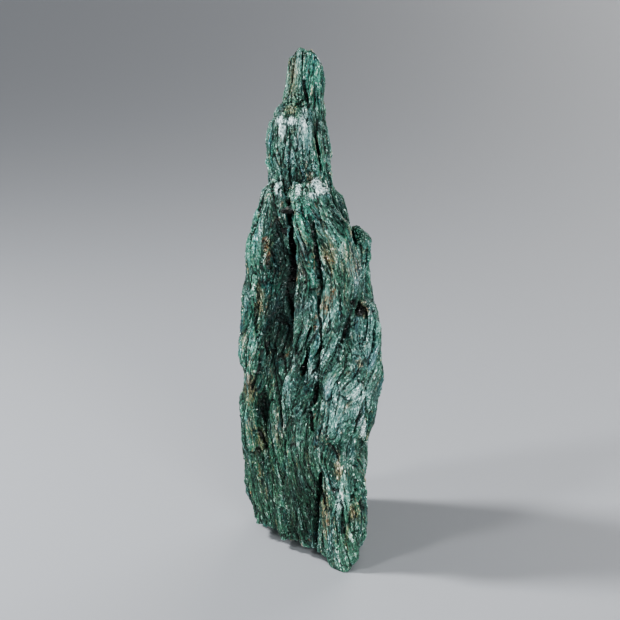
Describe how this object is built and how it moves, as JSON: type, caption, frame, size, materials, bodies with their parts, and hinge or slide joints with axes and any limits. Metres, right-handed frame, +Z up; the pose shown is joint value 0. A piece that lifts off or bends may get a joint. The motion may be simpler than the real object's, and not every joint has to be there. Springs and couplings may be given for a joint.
{
  "type": "raw fuchsite stone",
  "caption": "Free-standing tower of raw green fuchsite schist: a thick foliated body with split lobes and clefts, a slender spire and a flat broken foot.",
  "frame": {"origin": "on the ground plane under the middle of the stone's outline in plan", "axes": "+Z up along the foliation to the tip, +X to the right and +Y to the back of someone who faces the foot's sharp front edge"},
  "size_m": [0.0758, 0.099, 0.26],
  "materials": {
    "fuchsite_stone": "raw broken mica schist: satin foliated strands with small glittering flakes, dark clefts, pale and rust-stained patches"
  },
  "bodies": {
    "root": {"fuchsite_stone": "fuchsite_stone"}
  },
  "joints": []
}
